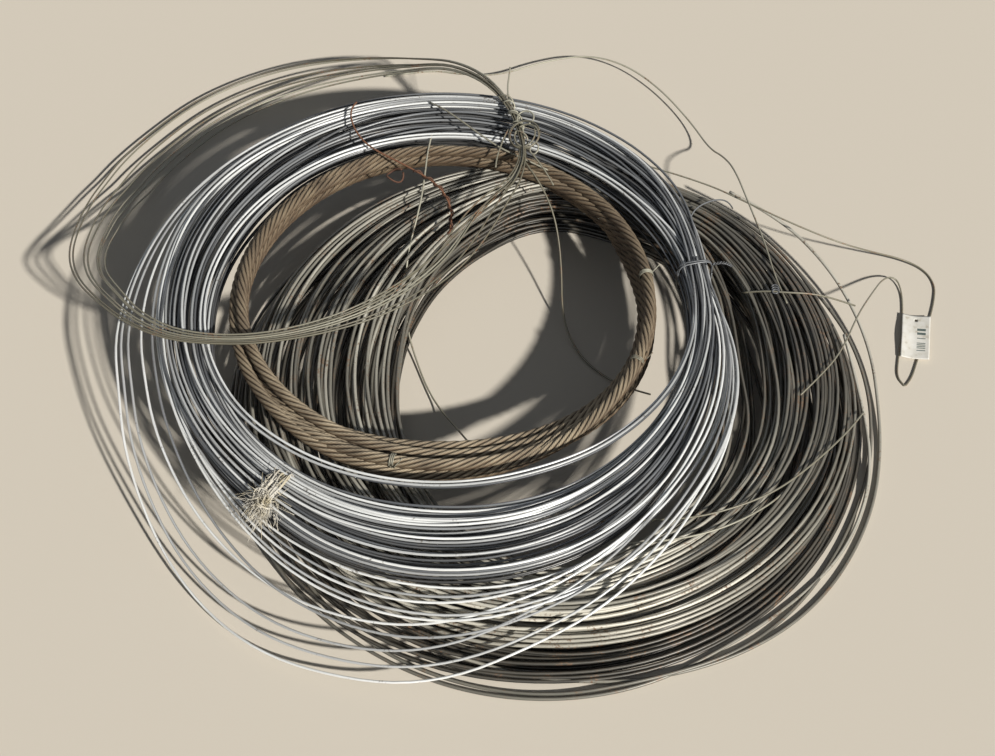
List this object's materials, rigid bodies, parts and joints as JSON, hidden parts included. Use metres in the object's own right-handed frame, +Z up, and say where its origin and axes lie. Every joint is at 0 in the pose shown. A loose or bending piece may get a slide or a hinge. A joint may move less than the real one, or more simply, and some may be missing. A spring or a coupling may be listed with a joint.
{
  "type": "coil of wire",
  "caption": "Heap of round coils of steel wire: a dull coil on the floor, a bright coil and a rusty wire rope coil on it, with loose turns.",
  "frame": {"origin": "centre of the bottom coil's bore, on the floor", "axes": "+Z up along the bore's axis, +X to the right and +Y away as the picture looks at it"},
  "size_m": [0.9413, 0.8654, 0.1227],
  "materials": {
    "dull_wire": "dull, weathered",
    "bright_wire": "galvanised",
    "rusty_rope": "rusty",
    "thin_wire": "dull, lightly rusted",
    "twine": "frayed",
    "tag_card": "matt"
  },
  "bodies": {
    "root": {"bottom_coil": "dull_wire", "floor_turn": "dull_wire", "bright_coil": "bright_wire", "outer_sprung_turn": "bright_wire", "inner_sprung_turn": "bright_wire", "rope_coil": "rusty_rope", "wire_hank": "thin_wire", "hank_knot": "thin_wire", "free_wire": "thin_wire", "tag_wire": "thin_wire", "wire_tie": "thin_wire", "twine_tie": "twine", "tag": "tag_card"}
  },
  "joints": []
}
